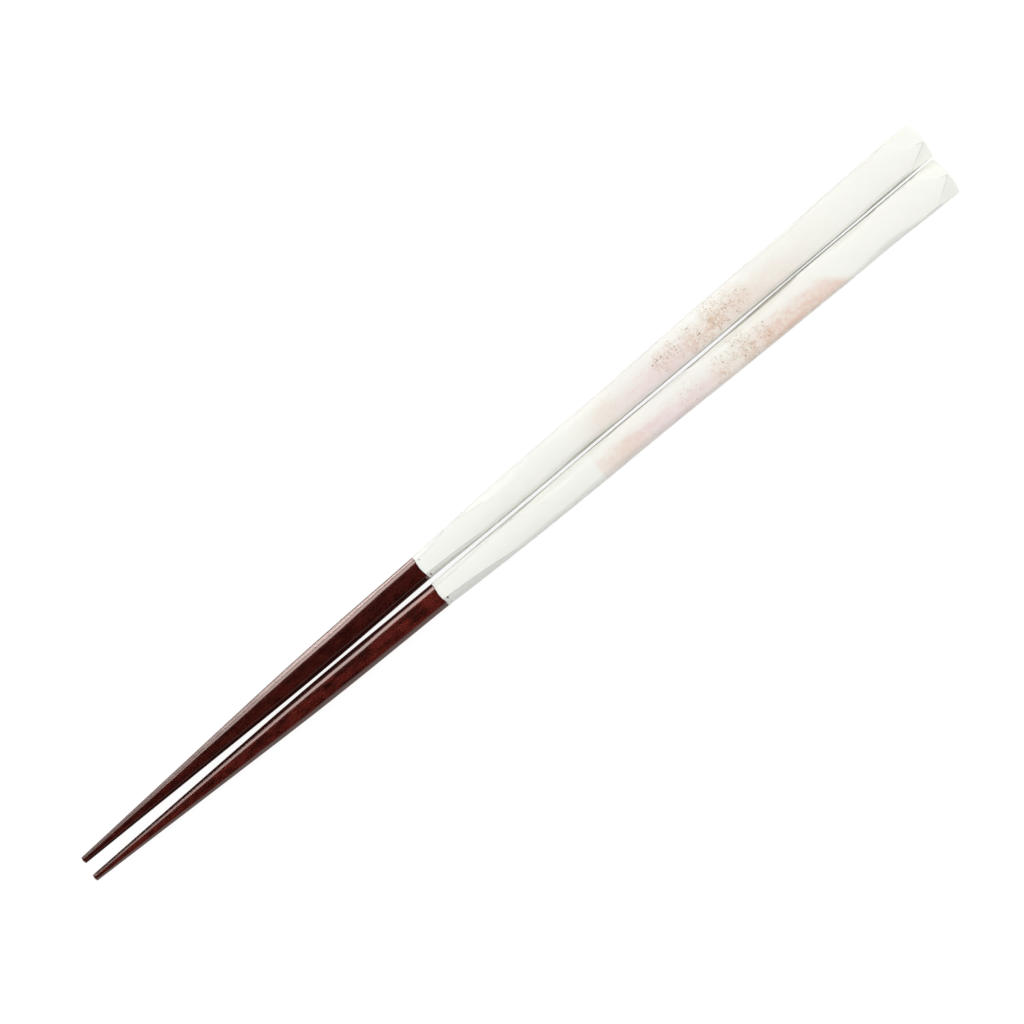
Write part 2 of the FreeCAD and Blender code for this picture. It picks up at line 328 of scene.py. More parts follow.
class Section:
    """Rounded outline of a stick at the places x, from which any column can be taken.

    Each side is a shallow bow. Each corner has a cut facing 45 degrees off its sides and a
    steeper shoulder beside the +Y or -Y side, which may lie hidden under the others. Every
    ridge has its own rounding radius.
    """

    def __init__(self, halves, plain_half, leg, crown, cuts, shoulders, start_radii, end_radii):
        reach = plain_half - leg
        self.bow = (reach ** 2 + crown ** 2) / (2.0 * crown)
        self.level = [half - self.bow for half in halves]
        self.cuts = cuts
        self.shoulders = shoulders
        self.start, self.end = [], []       # (angle, point, turn point, radius) of each side's ends
        self.closed, self.peak = [], []
        for side in range(4):
            start = self.meeting(side, side - 1, start_radii[side])
            end = self.meeting(side, side, end_radii[side])
            closed = -start[0] > end[0]
            before = cuts[side - 1] - start_radii[side]
            after = cuts[side] - end_radii[side]
            peak = ((after + before) * math.sin(CORNER), (after - before) * math.sin(CORNER))
            middle = (end[0] - start[0]) / 2.0
            ends = []
            for sign, (angle, point, turn, radius) in ((-1.0, start), (1.0, end)):
                angle = np.where(closed, middle, sign * angle)
                point, turn = (
                    [np.where(closed, top, place) for top, place in zip(peak, (out, sign * along))]
                    for out, along in (point, turn))
                ends.append((angle, self.turned(side, *point), self.turned(side, *turn), radius))
            self.start.append(ends[0])
            self.end.append(ends[1])
            self.closed.append(closed)
            self.peak.append(self.turned(side, *peak))

    def meeting(self, side, corner, radius):
        """Where a side's bow ends at a corner, seen from the side: out of it and along it."""
        bow, level = self.bow - radius, self.level[side]
        cut = (self.cuts[corner] - radius) * math.sqrt(2.0)

        def bow_angle(distance, facing):
            ratio = (distance - level * math.cos(facing)) / bow
            return facing - np.arccos(np.clip(ratio, -1.0, 1.0))

        angle = bow_angle(cut / math.sqrt(2.0), CORNER)
        if side % 2 == 1:
            point = (level + bow * np.cos(angle), bow * np.sin(angle))
            return angle, point, point, radius
        cosine, sine = math.cos(SHOULDER), math.sin(SHOULDER)
        plain = (level + bow * np.cos(angle)) * cosine + bow * np.sin(angle) * sine
        shoulder = np.minimum(self.shoulders[corner] - radius, plain)
        angle = bow_angle(shoulder, SHOULDER)
        point = (level + bow * np.cos(angle), bow * np.sin(angle))
        along = (cut * cosine - shoulder) / (cosine - sine)
        return angle, point, (cut - along, along), radius

    @staticmethod
    def turned(side, out, along):
        """A point given as how far out from a side and how far along it, in y and z."""
        cosine, sine = math.cos(QUARTER * side), math.sin(QUARTER * side)
        return out * cosine - along * sine, out * sine + along * cosine

    def stops(self, corner):
        """(point, radius, facing) where the outline round a corner starts to turn or to run."""
        after = (corner + 1) % 4
        angle, point, turn, radius = self.end[corner]
        next_angle, next_point, next_turn, next_radius = self.start[after]
        base = QUARTER * corner
        if corner % 2 == 0:
            first = [(point, radius, base + SHOULDER), (turn, radius, base + SHOULDER),
                     (turn, radius, base + CORNER), (next_point, next_radius, base + CORNER)]
        else:
            steep = base + QUARTER - SHOULDER
            first = [(point, radius, base + CORNER), (next_turn, next_radius, base + CORNER),
                     (next_turn, next_radius, steep), (next_point, next_radius, steep)]
        return ([(point, radius, base + angle)] + first
                + [(next_point, next_radius, base + QUARTER + next_angle)])

    def column(self, part, index, share):
        """Y, z, outward normal and rounding radius of one column."""
        if part == "side":
            start, end = self.start[index][0], self.end[index][0]
            angle = start + (end - start) * share
            radius = self.start[index][3] + (self.end[index][3] - self.start[index][3]) * share
            out = self.level[index] + (self.bow - radius) * np.cos(angle)
            inner = self.turned(index, out, (self.bow - radius) * np.sin(angle))
            inner = [np.where(self.closed[index], top, place)
                     for top, place in zip(self.peak[index], inner)]
            angle = angle + QUARTER * index
        else:
            corner, step = divmod(index, 5)
            near, far = self.stops(corner)[step:step + 2]
            (point, first_radius, first), (next_point, last_radius, last) = near, far
            inner = [a + (b - a) * share for a, b in zip(point, next_point)]
            radius = first_radius + (last_radius - first_radius) * share
            angle = first + (last - first) * share
        y = inner[0] + radius * np.cos(angle)
        z = inner[1] + radius * np.sin(angle)
        return np.stack(np.broadcast_arrays(y, z, np.cos(angle), np.sin(angle), radius))


def ring_columns():
    """(part, index, share) of each column, once round a section."""
    columns = []
    for side in range(4):
        columns += [("side", side, share) for share in FACE_SHARES]
        if side % 2 == 0:
            steps = (EDGE_SHARES, SHOULDER_SHARES, SHOULDER_SHARES, CUT_SHARES, EDGE_SHARES[:-1])
        else:
            steps = (EDGE_SHARES, CUT_SHARES, SHOULDER_SHARES, SHOULDER_SHARES, EDGE_SHARES[:-1])
        for step, shares in enumerate(steps):
            columns += [("corner", 5 * side + step, share) for share in shares]
    return columns


COLUMNS = ring_columns()
# 1 in the middle of a ridge, falling to 0 where it meets its flats
RIDGES = np.array([
    1.0 - abs(2.0 * share - 1.0) ** 2 if part == "corner" and index % 5 in (0, 4) else 0.0
    for part, index, share in COLUMNS])


class Stick:
    """One stick: the shared axis, and the sections of its shaft and its handle."""

    def __init__(self, sizes, number):
        self.sizes = sizes
        self.number = number
        self.inward = INWARD[number]

    def shift(self, x):
        """How far the axis leans in y."""
        ahead = x - self.sizes.neck
        return self.inward * self.sizes.set_slope * (eased(ahead, NECK_BLEND) - ahead)

    def shaft_half(self, x):
        s = self.sizes
        return two_tapers(x, (0.0, s.tip_half), (s.knee, s.knee_half),
                          (s.joint, s.joint_half), KNEE_BLEND)

    def handle_half(self, x):
        s = self.sizes
        return two_tapers(x, (s.joint, s.joint_half), (s.neck, s.neck_half),
                          (s.length, s.butt_half), NECK_BLEND)

    def wave(self, x, wavelength, seed, index):
        """Slow unevenness of one side or corner of this stick."""
        return slow_wave(x, seed * self.number + index, wavelength)

    def shaft_section(self, x):
        """Bevelled square of the wood, very slightly uneven from hand finishing."""
        s = self.sizes
        half = self.shaft_half(x)
        leg = two_tapers(x, (0.0, TIP_LEG), (s.knee, JOINT_LEG), (s.joint, JOINT_LEG), KNEE_BLEND)
        crown = WOOD_CROWN * half / s.joint_half
        plain = (2.0 * half - leg - crown) / math.sqrt(2.0)
        size = half / s.joint_half
        height, *wave = WOOD_SIDE_WAVE
        halves = [half + height * size * self.wave(x, *wave, side) for side in range(4)]
        height, *wave = WOOD_CUT_WAVE
        cuts = [plain + height * size * self.wave(x, *wave, corner) for corner in range(4)]
        hidden = [plain + half] * 4
        radii = [s.wood_ridge * size] * 4
        worn = [radii[0], s.worn_ridge * size] + radii[2:]
        wear = ease_in(x, s.joint - WORN_RUN[0], s.joint - WORN_RUN[1])
        cuts[0] = cuts[0] + size * (NEAT_CUT - (NEAT_CUT + WORN_CUT) * wear)
        return Section(halves, half, leg, crown, cuts, hidden, worn, radii)

    def along_handle(self, x, at_joint, at_butt):
        s = self.sizes
        return at_joint + (at_butt - at_joint) * (x - s.joint) / (s.length - s.joint)

    def crown(self, x):
        return self.along_handle(x, CROWN_AT_JOINT, CROWN_AT_BUTT)

    def face_crown(self, x):
        s = self.sizes
        full = self.along_handle(x, FACE_CROWN_AT_NECK, FACE_CROWN_AT_BUTT)
        return CROWN_AT_JOINT + (full - CROWN_AT_JOINT) * ease_in(x, s.joint, s.neck)

    def leg(self, x):
        return self.along_handle(x, JOINT_LEG, BUTT_LEG)

    def plain_reach(self, x, facing):
        """How far the plain handle reaches, facing an angle off its side."""
        half = self.handle_half(x)
        if facing == 0.0:
            return half
        return math.cos(facing) * (half - self.crown(x)) + math.sin(facing) * (half - self.leg(x))

    def hollow_reach(self, x, facing, from_joint, reach, depth):
        """How far the handle reaches under the round bar that shaves one hollow."""
        middle = self.sizes.joint + from_joint
        level = self.plain_reach(middle, facing)
        tilt = math.atan(self.plain_reach(middle + 1.0, facing) - level)
        radius = reach ** 2 / (2.0 * depth)
        centre = middle - radius * math.sin(tilt)
        height = level - depth + radius * math.cos(tilt)
        inside = radius ** 2 - (x - centre) ** 2
        cut = height - np.sqrt(np.maximum(inside, 0.0))
        return np.where(inside > 0.0, cut, 3.0 * level)

    def facet_reach(self, x, length, leg):
        """How far a corner reaches under its slanting facet at the butt."""
        s = self.sizes
        end = s.length - (BUTT_DOME - math.sqrt(BUTT_DOME ** 2 - s.butt_half ** 2))
        at_end = (2.0 * self.handle_half(end) - leg) / math.sqrt(2.0)
        at_start = math.sqrt(2.0) * self.handle_half(end - length)
        return at_end + (at_start - at_end) * (end - x) / length

    def ridge_radii(self, x):
        """Rounding of each side's two ridges: polished soft, and left crisp in places."""
        s = self.sizes
        from_joint = x - s.joint
        crisp, soft = s.ridge, s.soft_ridge
        worn = WORN_SHARE * crisp
        fuller, full = (ease_in(from_joint, *ends) for ends in ROUNDEST_RUN)
        fullest = (soft, (RIGHT_SHARE + RIGHT_SHARE_MORE * fuller * full) * soft)
        top = []
        for most, start, ease, (low, high) in zip(
                fullest, SOFT_FROM[self.number], SOFT_EASE, SOFT_UNTIL):
            fade = ease_in(from_joint, start, start + ease)
            top.append(worn + (most - worn) * fade * ease_in(x, s.length - low, s.length - high))
        butt = ease_in(x, s.length - CRISP_BUTT[0], s.length - CRISP_BUTT[1])
        outer_share = OUTER_SHARE if self.number == 1 else OTHER_SHARE
        outer, other = (share * crisp + (crisp - share * crisp) * butt
                        for share in (outer_share, OTHER_SHARE))
        return [outer, top[0], other, other], [outer, top[1], other, other]

    def handle_section(self, x):
        """Crowned square of the resin with its shaved corners."""
        s = self.sizes
        number = self.number
        half = self.handle_half(x)
        plain = self.plain_reach(x, CORNER)
        fuller = plain
        if number in FULL_NECK:
            middle, reach, narrower = FULL_NECK[number]
            away = np.abs(x - s.joint - middle)
            fuller = plain + narrower * math.cos(CORNER) * ease_in(away, reach, 0.0)
        cuts, shoulders = [], []
        for uncut, hollows, facet, steep in (
                (fuller, HOLLOWS_LEFT, FACET_LEFT, SHOULDERS_LEFT),
                (plain, HOLLOWS_RIGHT, FACET_RIGHT, SHOULDERS_RIGHT)):
            reaches = [self.hollow_reach(x, CORNER, *hollow) for hollow in hollows[number]]
            cuts.append(soft_least([uncut, self.facet_reach(x, *facet[number])] + reaches))
            reaches = [self.hollow_reach(x, SHOULDER, *hollow) for hollow in steep[number]]
            shoulders.append(soft_least([2.0 * half] + reaches))
        reaches = [self.hollow_reach(x, 0.0, *hollow) for hollow in OUTER_SIDE_HOLLOWS[number]]
        halves = [half] * 4
        outer, inner = (0, 2) if number == 1 else (2, 0)
        halves[outer] = soft_least([half] + reaches)
        for middle, reach, swell in INNER_SWELLS[number]:
            away = np.abs(x - s.joint - middle)
            halves[inner] = halves[inner] + swell * ease_in(away, reach, 0.0)
        height, *wave = RESIN_SIDE_WAVE
        halves = [side_half + (0.0 if side == UNDERSIDE else height) * self.wave(x, *wave, side)
                  for side, side_half in enumerate(halves)]
        start_radii, end_radii = self.ridge_radii(x)
        return Section(halves, half, self.leg(x), self.face_crown(x), cuts * 2, shoulders * 2,
                       start_radii, end_radii)

    def lay_down(self, points):
        """Put points of this stick, in millimetres, into the frame in metres."""
        s = self.sizes
        x, y, z = points[:, 0], points[:, 1], points[:, 2]
        cosine, sine = math.cos(s.lay_angle), math.sin(s.lay_angle)
        x, z = x * cosine - z * sine, x * sine + z * cosine
        turn = -self.inward * s.lay_angle
        cosine, sine = math.cos(turn), math.sin(turn)
        x, y = x * cosine - y * sine, x * sine + y * cosine
        level = (s.neck_half - s.handle_slope * s.neck) * math.cos(s.lay_angle)
        y = y - self.inward * level
        z = z + level
        laid = np.stack([x, y, z], axis=1) * MM
        return laid + self.place()

    def place(self):
        """Where the frame puts the tip's end of the axis and the handle's inner side."""
        s = self.sizes
        low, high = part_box(f"handle_{self.number}")
        reach = (s.length - BUTT_DOME) * math.cos(s.lay_angle) ** 2 + BUTT_DOME
        inner = low.y if self.number == 1 else high.y
        return np.array([high.x - reach * MM, inner, 0.0])


# ---- surfaces ---------------------------------------------------------------------

def ring(section_at, places):
    """Y, z, normals and rounding of every column, each column at its own places along x."""
    parts = [section_at(places[:, number]).column(*column) for number, column in enumerate(COLUMNS)]
    return np.stack(parts, axis=2)


def domed_rim(section_at, guess, centre, radius, towards):
    """Where each column reaches a domed end."""
    places = np.full((1, len(COLUMNS)), guess)
    for _ in range(RIM_ROUNDS):
        y, z = ring(section_at, places)[:2, 0]
        places = (centre + towards * np.sqrt(radius ** 2 - y ** 2 - z ** 2))[None, :]
    return places[0]


def rim_rows(section_at, end, rim_radius, towards, rise=0.0):
    """Rows that round the edge where the sides meet an end."""
    rows = []
    y, z, ny, nz = ring(section_at, (end - towards * rim_radius)[None, :])[:4, 0]
    for degrees in RIM_ANGLES:
        angle = math.radians(degrees)
        inset = rim_radius * (1.0 - math.cos(angle)) - rise
        x = end - towards * rim_radius * (1.0 - math.sin(angle))
        rows.append(np.stack([x, y - inset * ny, z - inset * nz], axis=1))
    return rows


def cap_rows(rim, centre, radius, towards):
    """Rows over a domed end, from its rounded edge to the pole."""
    x, y, z = rim.T
    across = np.hypot(y, z)
    step = x - (centre + towards * np.sqrt(radius ** 2 - across ** 2))
    rows = []
    for share in CAP_SHARES:
        dome = centre + towards * np.sqrt(radius ** 2 - (share * across) ** 2)
        rows.append(np.stack([dome + step * share ** 2, share * y, share * z], axis=1))
    pole = np.array([centre + towards * radius, 0.0, 0.0])
    return rows, pole


def circle_row(rim, x, radius):
    """A round row at x whose points stand at the same angles as a rim's."""
    angle = np.arctan2(rim[:, 2], rim[:, 1])
    y, z = radius * np.cos(angle), radius * np.sin(angle)
    return np.stack([np.full(len(angle), x), y, z], axis=1)


def side_rows(section_at, start, end, rise=None):
    """Evenly spaced rows along the sides."""
    count = int(round((end.mean() - start.mean()) / STATION_STEP))
    shares = np.linspace(0.0, 1.0, count + 1)[:, None]
    places = start[None, :] + (end - start)[None, :] * shares
    y, z, ny, nz = ring(section_at, places)[:4]
    if rise is not None:
        extra = rise(places)
        y, z = y + extra * ny, z + extra * nz
    return [np.stack([places[i], y[i], z[i]], axis=1) for i in range(count + 1)]


def octagon_reach(angle, half, leg):
    """How far a bevelled square reaches at an angle round its axis."""
    folded = np.abs((angle + CORNER) % QUARTER - CORNER)
    flat = half / np.cos(folded)
    bevel = (2.0 * half - leg) / math.sqrt(2.0) / np.cos(CORNER - folded)
    return np.minimum(flat, bevel)


def crispness(section_at, rows):
    """How crisp the ridges are at every point of the rows: 1 for the crispest."""
    places = np.stack([row[:, 0] for row in rows])
    radius = ring(section_at, places)[4]
    return ease_in(radius, *RIDGE_SEEN) * RIDGES[None, :]


def build_mesh(name, stick, rows, poles, shift_rows, section_at):
    """Closed mesh from rows of columns, with a pole at each end."""
    count = len(COLUMNS)
    ridges = crispness(section_at, rows).ravel().tolist()
    points = [poles[0][None, :]] + rows + [poles[1][None, :]]
    points = np.concatenate(points)
    points[:, 1] += shift_rows(points[:, 0])
    laid = stick.lay_down(points)
    mesh = bmesh.new()
    ridge = mesh.verts.layers.float.new("ridge")
    verts = [mesh.verts.new(point) for point in laid.tolist()]
    for index, value in enumerate(ridges):
        verts[1 + index][ridge] = value
    first, last = verts[0], verts[-1]
    for here in range(count):
        after = (here + 1) % count
        mesh.faces.new((first, verts[1 + after], verts[1 + here]))
        base = 1 + (len(rows) - 1) * count
        mesh.faces.new((last, verts[base + here], verts[base + after]))
        for row in range(len(rows) - 1):
            near, far = 1 + row * count, 1 + (row + 1) * count
            mesh.faces.new((verts[near + here], verts[near + after],
                            verts[far + after], verts[far + here]))
    bmesh.ops.remove_doubles(mesh, verts=mesh.verts, dist=MERGE_DISTANCE)
    bmesh.ops.dissolve_degenerate(mesh, edges=mesh.edges, dist=SLIVER)
    bmesh.ops.recalc_face_normals(mesh, faces=mesh.faces)
    data = bpy.data.meshes.new(name)
    mesh.to_mesh(data)
    mesh.free()
    data.shade_smooth()
    data.set_sharp_from_angle(angle=SHARP_ANGLE)
    piece = bpy.data.objects.new(name, data)
    bpy.context.scene.collection.objects.link(piece)
    return piece


def shaft_piece(stick):
    """Wooden shaft with its domed tip, its end face at the joint and its round tenon."""
    s = stick.sizes
    tip_rim, end_rim = 0.05, 0.12
    start = domed_rim(stick.shaft_section, 0.3, TIP_DOME, TIP_DOME, -1.0)
    end = np.full(len(COLUMNS), s.joint)
    tip = rim_rows(stick.shaft_section, start, tip_rim, -1.0)[::-1]
    cap, pole = cap_rows(tip[0], TIP_DOME, TIP_DOME, -1.0)
    sides = side_rows(stick.shaft_section, start + tip_rim, end - end_rim)
    joint = rim_rows(stick.shaft_section, end, end_rim, 1.0)
    tenon = [circle_row(joint[-1], x, TENON_RADIUS) for x in (s.joint, s.joint + TENON_LENGTH)]
    rows = cap[::-1] + tip + sides + joint + tenon
    far_pole = np.array([s.joint + TENON_LENGTH, 0.0, 0.0])

    def lean(x):
        return stick.inward * s.set_slope * (s.neck - x)

    return build_mesh(f"wood_shaft_{stick.number}", stick, rows, (pole, far_pole), lean,
                      stick.shaft_section)


def handle_piece(stick):
    """Cast handle: socket, lip over the wood, shaved sides and diamond butt."""
    s = stick.sizes
    lip_round, butt_round = 0.10, 0.13
    y, z = ring(stick.handle_section, np.full((1, len(COLUMNS)), s.joint))[:2, 0]
    facing = np.arctan2(z, y)
    start = s.joint - s.lip_overlap * (0.5 + 0.5 * np.cos(4.0 * facing))

    def rise(x):
        return s.lip_rise * np.exp(-((x - start[None, :]) / LIP_SWELL) ** 2)

    end = domed_rim(stick.handle_section, s.length - 1.0, s.length - BUTT_DOME, BUTT_DOME, 1.0)
    front = rim_rows(stick.handle_section, start, lip_round, -1.0, s.lip_rise)[::-1]
    outer = np.hypot(front[0][:, 1], front[0][:, 2])
    wood_reach = octagon_reach(facing, s.joint_half, JOINT_LEG)
    seat_reach = np.minimum(wood_reach + SEAT_GAP, outer - LIP_WALL)
    seat = np.stack([start, seat_reach * np.cos(facing), seat_reach * np.sin(facing)], axis=1)
    back_seat = seat.copy()
    back_seat[:, 0] = s.joint + END_GAP
    bore = TENON_RADIUS + GLUE_FILM
    bore_end = s.joint + TENON_LENGTH + GLUE_POCKET
    socket = [circle_row(seat, x, bore) for x in (bore_end, s.joint + END_GAP)]
    sides = side_rows(stick.handle_section, start + lip_round, end - butt_round, rise)
    butt = rim_rows(stick.handle_section, end, butt_round, 1.0)
    cap, pole = cap_rows(butt[-1], s.length - BUTT_DOME, BUTT_DOME, 1.0)
    rows = socket + [back_seat, seat] + front + sides + butt + cap
    bore_pole = np.array([bore_end, 0.0, 0.0])
    return build_mesh(f"resin_handle_{stick.number}", stick, rows, (bore_pole, pole), stick.shift,
                      stick.handle_section)


# ---- materials --------------------------------------------------------------------

# Linear colours of single layers of the materials
WOOD_SPECK = (0.32, 0.24, 0.20)
SPECULAR_TINT = (1.0, 0.76, 0.70, 1.0)
CREAM_SHARES = (0.975, 0.98, 0.965)     # of the cream resin's colour, where it is cloudy
# Painted light: the cream is made lighter over the first 26 mm from the joint, standing in for
# brighter light there
NECK_PAINTED_LIGHT = (0.95, 0.955, 0.92)
BLOTCH = (0.68, 0.46, 0.31)
DUST_HAZE = (0.72, 0.53, 0.37)
# Painted shade: crisp ridges are greyed, standing in for the dark lines of shade and reflection
# along them
RIDGE_PAINTED_SHADE = (0.36, 0.37, 0.37)
# Painted shade: the resin's first 0.75 mm from the joint is greyed, standing in for the shade where
# it meets the wood
JOINT_PAINTED_SHADE = (0.80, 0.80, 0.78)
PIT_BROWN = (0.05, 0.035, 0.03)
FLOOR_GREY = 0.80
SEEN_FLOOR_GREY = 0.16          # where it is seen, the floor mostly glows white
SEEN_FLOOR_GLOW = 0.90
# Depth of the bumps, in metres
WOOD_RELIEF = 0.00006
RESIN_RELIEF = 0.00012
# Steps that give each stick, and the finer dust, another part of the noise
WOOD_STEP = (37.0, 11.0, 5.0)
DUST_STEP = (3.0, 7.0, 5.0)
HANDLE_MIDDLE = {1: 4.5, 2: -4.5}       # the y from which dust, pits and clouds are placed


def operators(operation):
    """A Math node as an operator between sockets or numbers, with its reflected form."""
    def plain(self, other):
        return self.maths(operation, self, other)

    def reflected(self, other):
        return self.maths(operation, other, self)

    return plain, reflected


class Value:
    """A shader socket that can be used in Python expressions."""

    def __init__(self, shader, socket):
        self.shader = shader
        self.socket = socket

    def maths(self, operation, *values):
        inputs = {index: value for index, value in enumerate(values)}
        return self.shader.node("ShaderNodeMath", {"operation": operation}, inputs)

    __add__, __radd__ = operators("ADD")
    __sub__, __rsub__ = operators("SUBTRACT")
    __mul__, __rmul__ = operators("MULTIPLY")
    __truediv__, __rtruediv__ = operators("DIVIDE")

    def least(self, other):
        return self.maths("MINIMUM", self, other)

    def most(self, other):
        return self.maths("MAXIMUM", self, other)

    def smooth(self, low, high):
        """0 below low, 1 above high, eased between; low may be the larger one."""
        settings = {"interpolation_type": "SMOOTHSTEP"}
        inputs = {"Value": self, "From Min": low, "From Max": high}
        return self.shader.node("ShaderNodeMapRange", settings, inputs)


class Shader:
    """Nodes of one material or world."""

    def __init__(self, owner, output):
        owner.use_nodes = True
        self.tree = owner.node_tree
        self.tree.nodes.clear()
        self.output = self.tree.nodes.new(output)

    def node(self, kind, settings=None, inputs=None, output=0):
        """Add a node: its settings first, then its sockets' values or links."""
        made = self.tree.nodes.new(kind)
        for name, value in (settings or {}).items():
            setattr(made, name, value)
        for name, value in (inputs or {}).items():
            socket = self.find(made.inputs, name)
            if isinstance(value, Value):
                self.tree.links.new(value.socket, socket)
            else:
                socket.default_value = value
        return Value(self, self.find(made.outputs, output))

    @staticmethod
    def find(sockets, name):
        """A socket by its number, its identifier or its name."""
        if isinstance(name, int):
            return sockets[name]
        for socket in sockets:
            if socket.identifier == name:
                return socket
        return sockets[name]

    def mix(self, factor, first, second):
        """Colours blended by a factor."""
        colours = {"A_Color": first, "B_Color": second, "Factor_Float": factor}
        inputs = {name: value if isinstance(value, (Value, float)) else (*value, 1.0)
                  for name, value in colours.items()}
        return self.node("ShaderNodeMix", {"data_type": "RGBA"}, inputs, "Result_Color")

    def vector(self, operation, first, second):
        name = "Scale" if operation == "SCALE" else 1
        return self.node("ShaderNodeVectorMath", {"operation": operation}, {0: first, name: second})

    def split(self, vector):
        made = self.node("ShaderNodeSeparateXYZ", inputs={"Vector": vector})
        outputs = made.socket.node.outputs
        return [Value(self, outputs[axis]) for axis in range(3)]

    def place(self):
        """Where a point is in the part, in millimetres."""
        raw = self.node("ShaderNodeTexCoord", output="Object")
        return self.vector("SCALE", raw, 1.0 / MM)

    def stretched(self, vector, along, across):
        """Coordinates whose pattern is drawn out along the sticks."""
        return self.vector("MULTIPLY", vector, (along, across, across))

    def attribute(self, name):
        return self.node("ShaderNodeAttribute", {"attribute_name": name}, output="Fac")

    def cells(self, vector, scale, output="Distance"):
        """Distance to the nearest of many scattered points, or that point's own colour."""
        settings = {"feature": "F1", "voronoi_dimensions": "3D"}
        inputs = {"Vector": vector, "Scale": scale}
        return self.node("ShaderNodeTexVoronoi", settings, inputs, output)

    def noise(self, vector, scale, detail, roughness, distortion=0.0):
        """Cloudy noise between 0 and 1."""
        inputs = {"Vector": vector, "Scale": scale, "Detail": detail,
                  "Roughness": roughness, "Distortion": distortion}
        return self.node("ShaderNodeTexNoise", {"noise_dimensions": "3D"}, inputs, "Fac")

    def bump(self, height, distance, strength):
        inputs = {"Height": height, "Distance": distance, "Strength": strength}
        return self.node("ShaderNodeBump", inputs=inputs)

    def finish(self, surface):
        self.tree.links.new(surface.socket, self.output.inputs["Surface"])


def scaled(channels, share):
    return tuple(share * channel for channel in channels)


def lacquered_wood(colours, number):
    """Dark red-brown wood: lengthwise grain, open pores, a worn clear lacquer that also stands in
    for painted highlights on the ridges, and painted shade on the bevels.
    """
    material = bpy.data.materials.new(f"lacquered_wood_{number}")
    shader = Shader(material, "ShaderNodeOutputMaterial")
    place = shader.vector("ADD", shader.place(), scaled(WOOD_STEP, number))
    grain = shader.noise(shader.stretched(place, 0.06, 1.0), 1.5, 4.0, 0.58, 0.6)
    fibres = shader.noise(shader.stretched(place, 0.16, 1.0), 2.2, 2.0, 0.5)
    clouds = shader.noise(shader.stretched(place, 0.30, 0.6), 1.0, 4.0, 0.6)
    _, ny, nz = shader.split(shader.node("ShaderNodeTexCoord", output="Normal"))
    # Painted shade: the red grain is dimmed on the bevels, standing in for their darker look, which
    # comes from shade and reflection rather than the wood
    flat = (ny * ny).most(nz * nz).smooth(0.52, 0.80)       # 0 on the bevels, 1 on the sides
    pores = shader.cells(shader.stretched(place, 0.55, 4.2), 1.0)
    pore = pores.smooth(0.34, 0.20) * fibres.smooth(0.42, 0.6)
    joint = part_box(f"shaft_{number}")[1].x / MM - TENON_LENGTH
    along = shader.split(shader.place())[0] - joint     # negative, up to 0 at the joint
    redness = 0.42 if number == 1 else along.smooth(-18.0, -3.0) * 0.35 + 0.9
    warm = (grain.smooth(0.34, 0.68) * 0.40 + clouds.smooth(0.34, 0.62) * 0.65) * redness
    warm = warm * (flat * 0.85 + 0.15)
    colour = shader.mix(warm, colours.wood_deep, colours.wood_warm)
    colour = shader.mix(pore * 0.5, colour, scaled(colours.wood_deep, 0.35))
    # Partly real wear and partly a painted highlight: the wood's crisp ridges are tinted a lighter
    # red
    rubbed_and_highlight = shader.attribute("ridge") * fibres.smooth(0.3, 0.7) * 0.6
    colour = shader.mix(rubbed_and_highlight, colour, scaled(colours.wood_warm, 2.2))
    specks = shader.cells(shader.stretched(place, 0.8, 1.1), 1.0)
    speck = specks.smooth(0.10, 0.05) * clouds.smooth(0.45, 0.6)
    colour = shader.mix(speck * 0.2, colour, WOOD_SPECK)
    height = grain * 0.18 + fibres * 0.08 - pore * 0.03
    surface = shader.node("ShaderNodeBsdfPrincipled", None, {
        "Base Color": colour, "Roughness": 0.19 + fibres * 0.04 + pore * 0.03,
        "IOR": 2.2, "Specular Tint": SPECULAR_TINT,
        "Coat Weight": 0.08 + fibres * 0.06 - pore * 0.04,
        "Coat Roughness": 0.12, "Coat IOR": 1.5,
        "Normal": shader.bump(height, WOOD_RELIEF, 0.25)})
    shader.finish(surface)
    return material


def clusters(along, across, places):
    """Each place's weight in the middle of scattered spots, and 0 away from them."""
    total = None
    for middle, offset, reach, weight in places:
        run, rise = (along - middle) / reach, (across - offset) / reach
        spot = (run * run + rise * rise).smooth(1.2, 0.15) * weight
        total = spot if total is None else total.most(spot)
    return total


def sprinkle(shader, place, density, cells, smallest, spread):
    """Specks of uneven size, thicker where the density is higher."""
    distance = shader.cells(place, cells)
    lot, chance, _ = shader.split(shader.cells(place, cells, "Color"))
    speck = (smallest + lot * spread - distance).smooth(0.0, 0.16)
    return speck * (density - chance).smooth(0.0, 0.20)


def gold_dust(shader, place, density, mottle):
    """Coarse and fine specks, some of which lie deeper under the surface."""
    coarse = sprinkle(shader, place, density * 0.70, 1.6, 0.18, 0.26)
    fine = sprinkle(shader, shader.vector("ADD", place, DUST_STEP), density * 1.2, 2.6, 0.28, 0.26)
    depth = mottle.smooth(0.35, 0.65) * 0.55 + 0.25
    return coarse.most(fine * 0.6) * depth


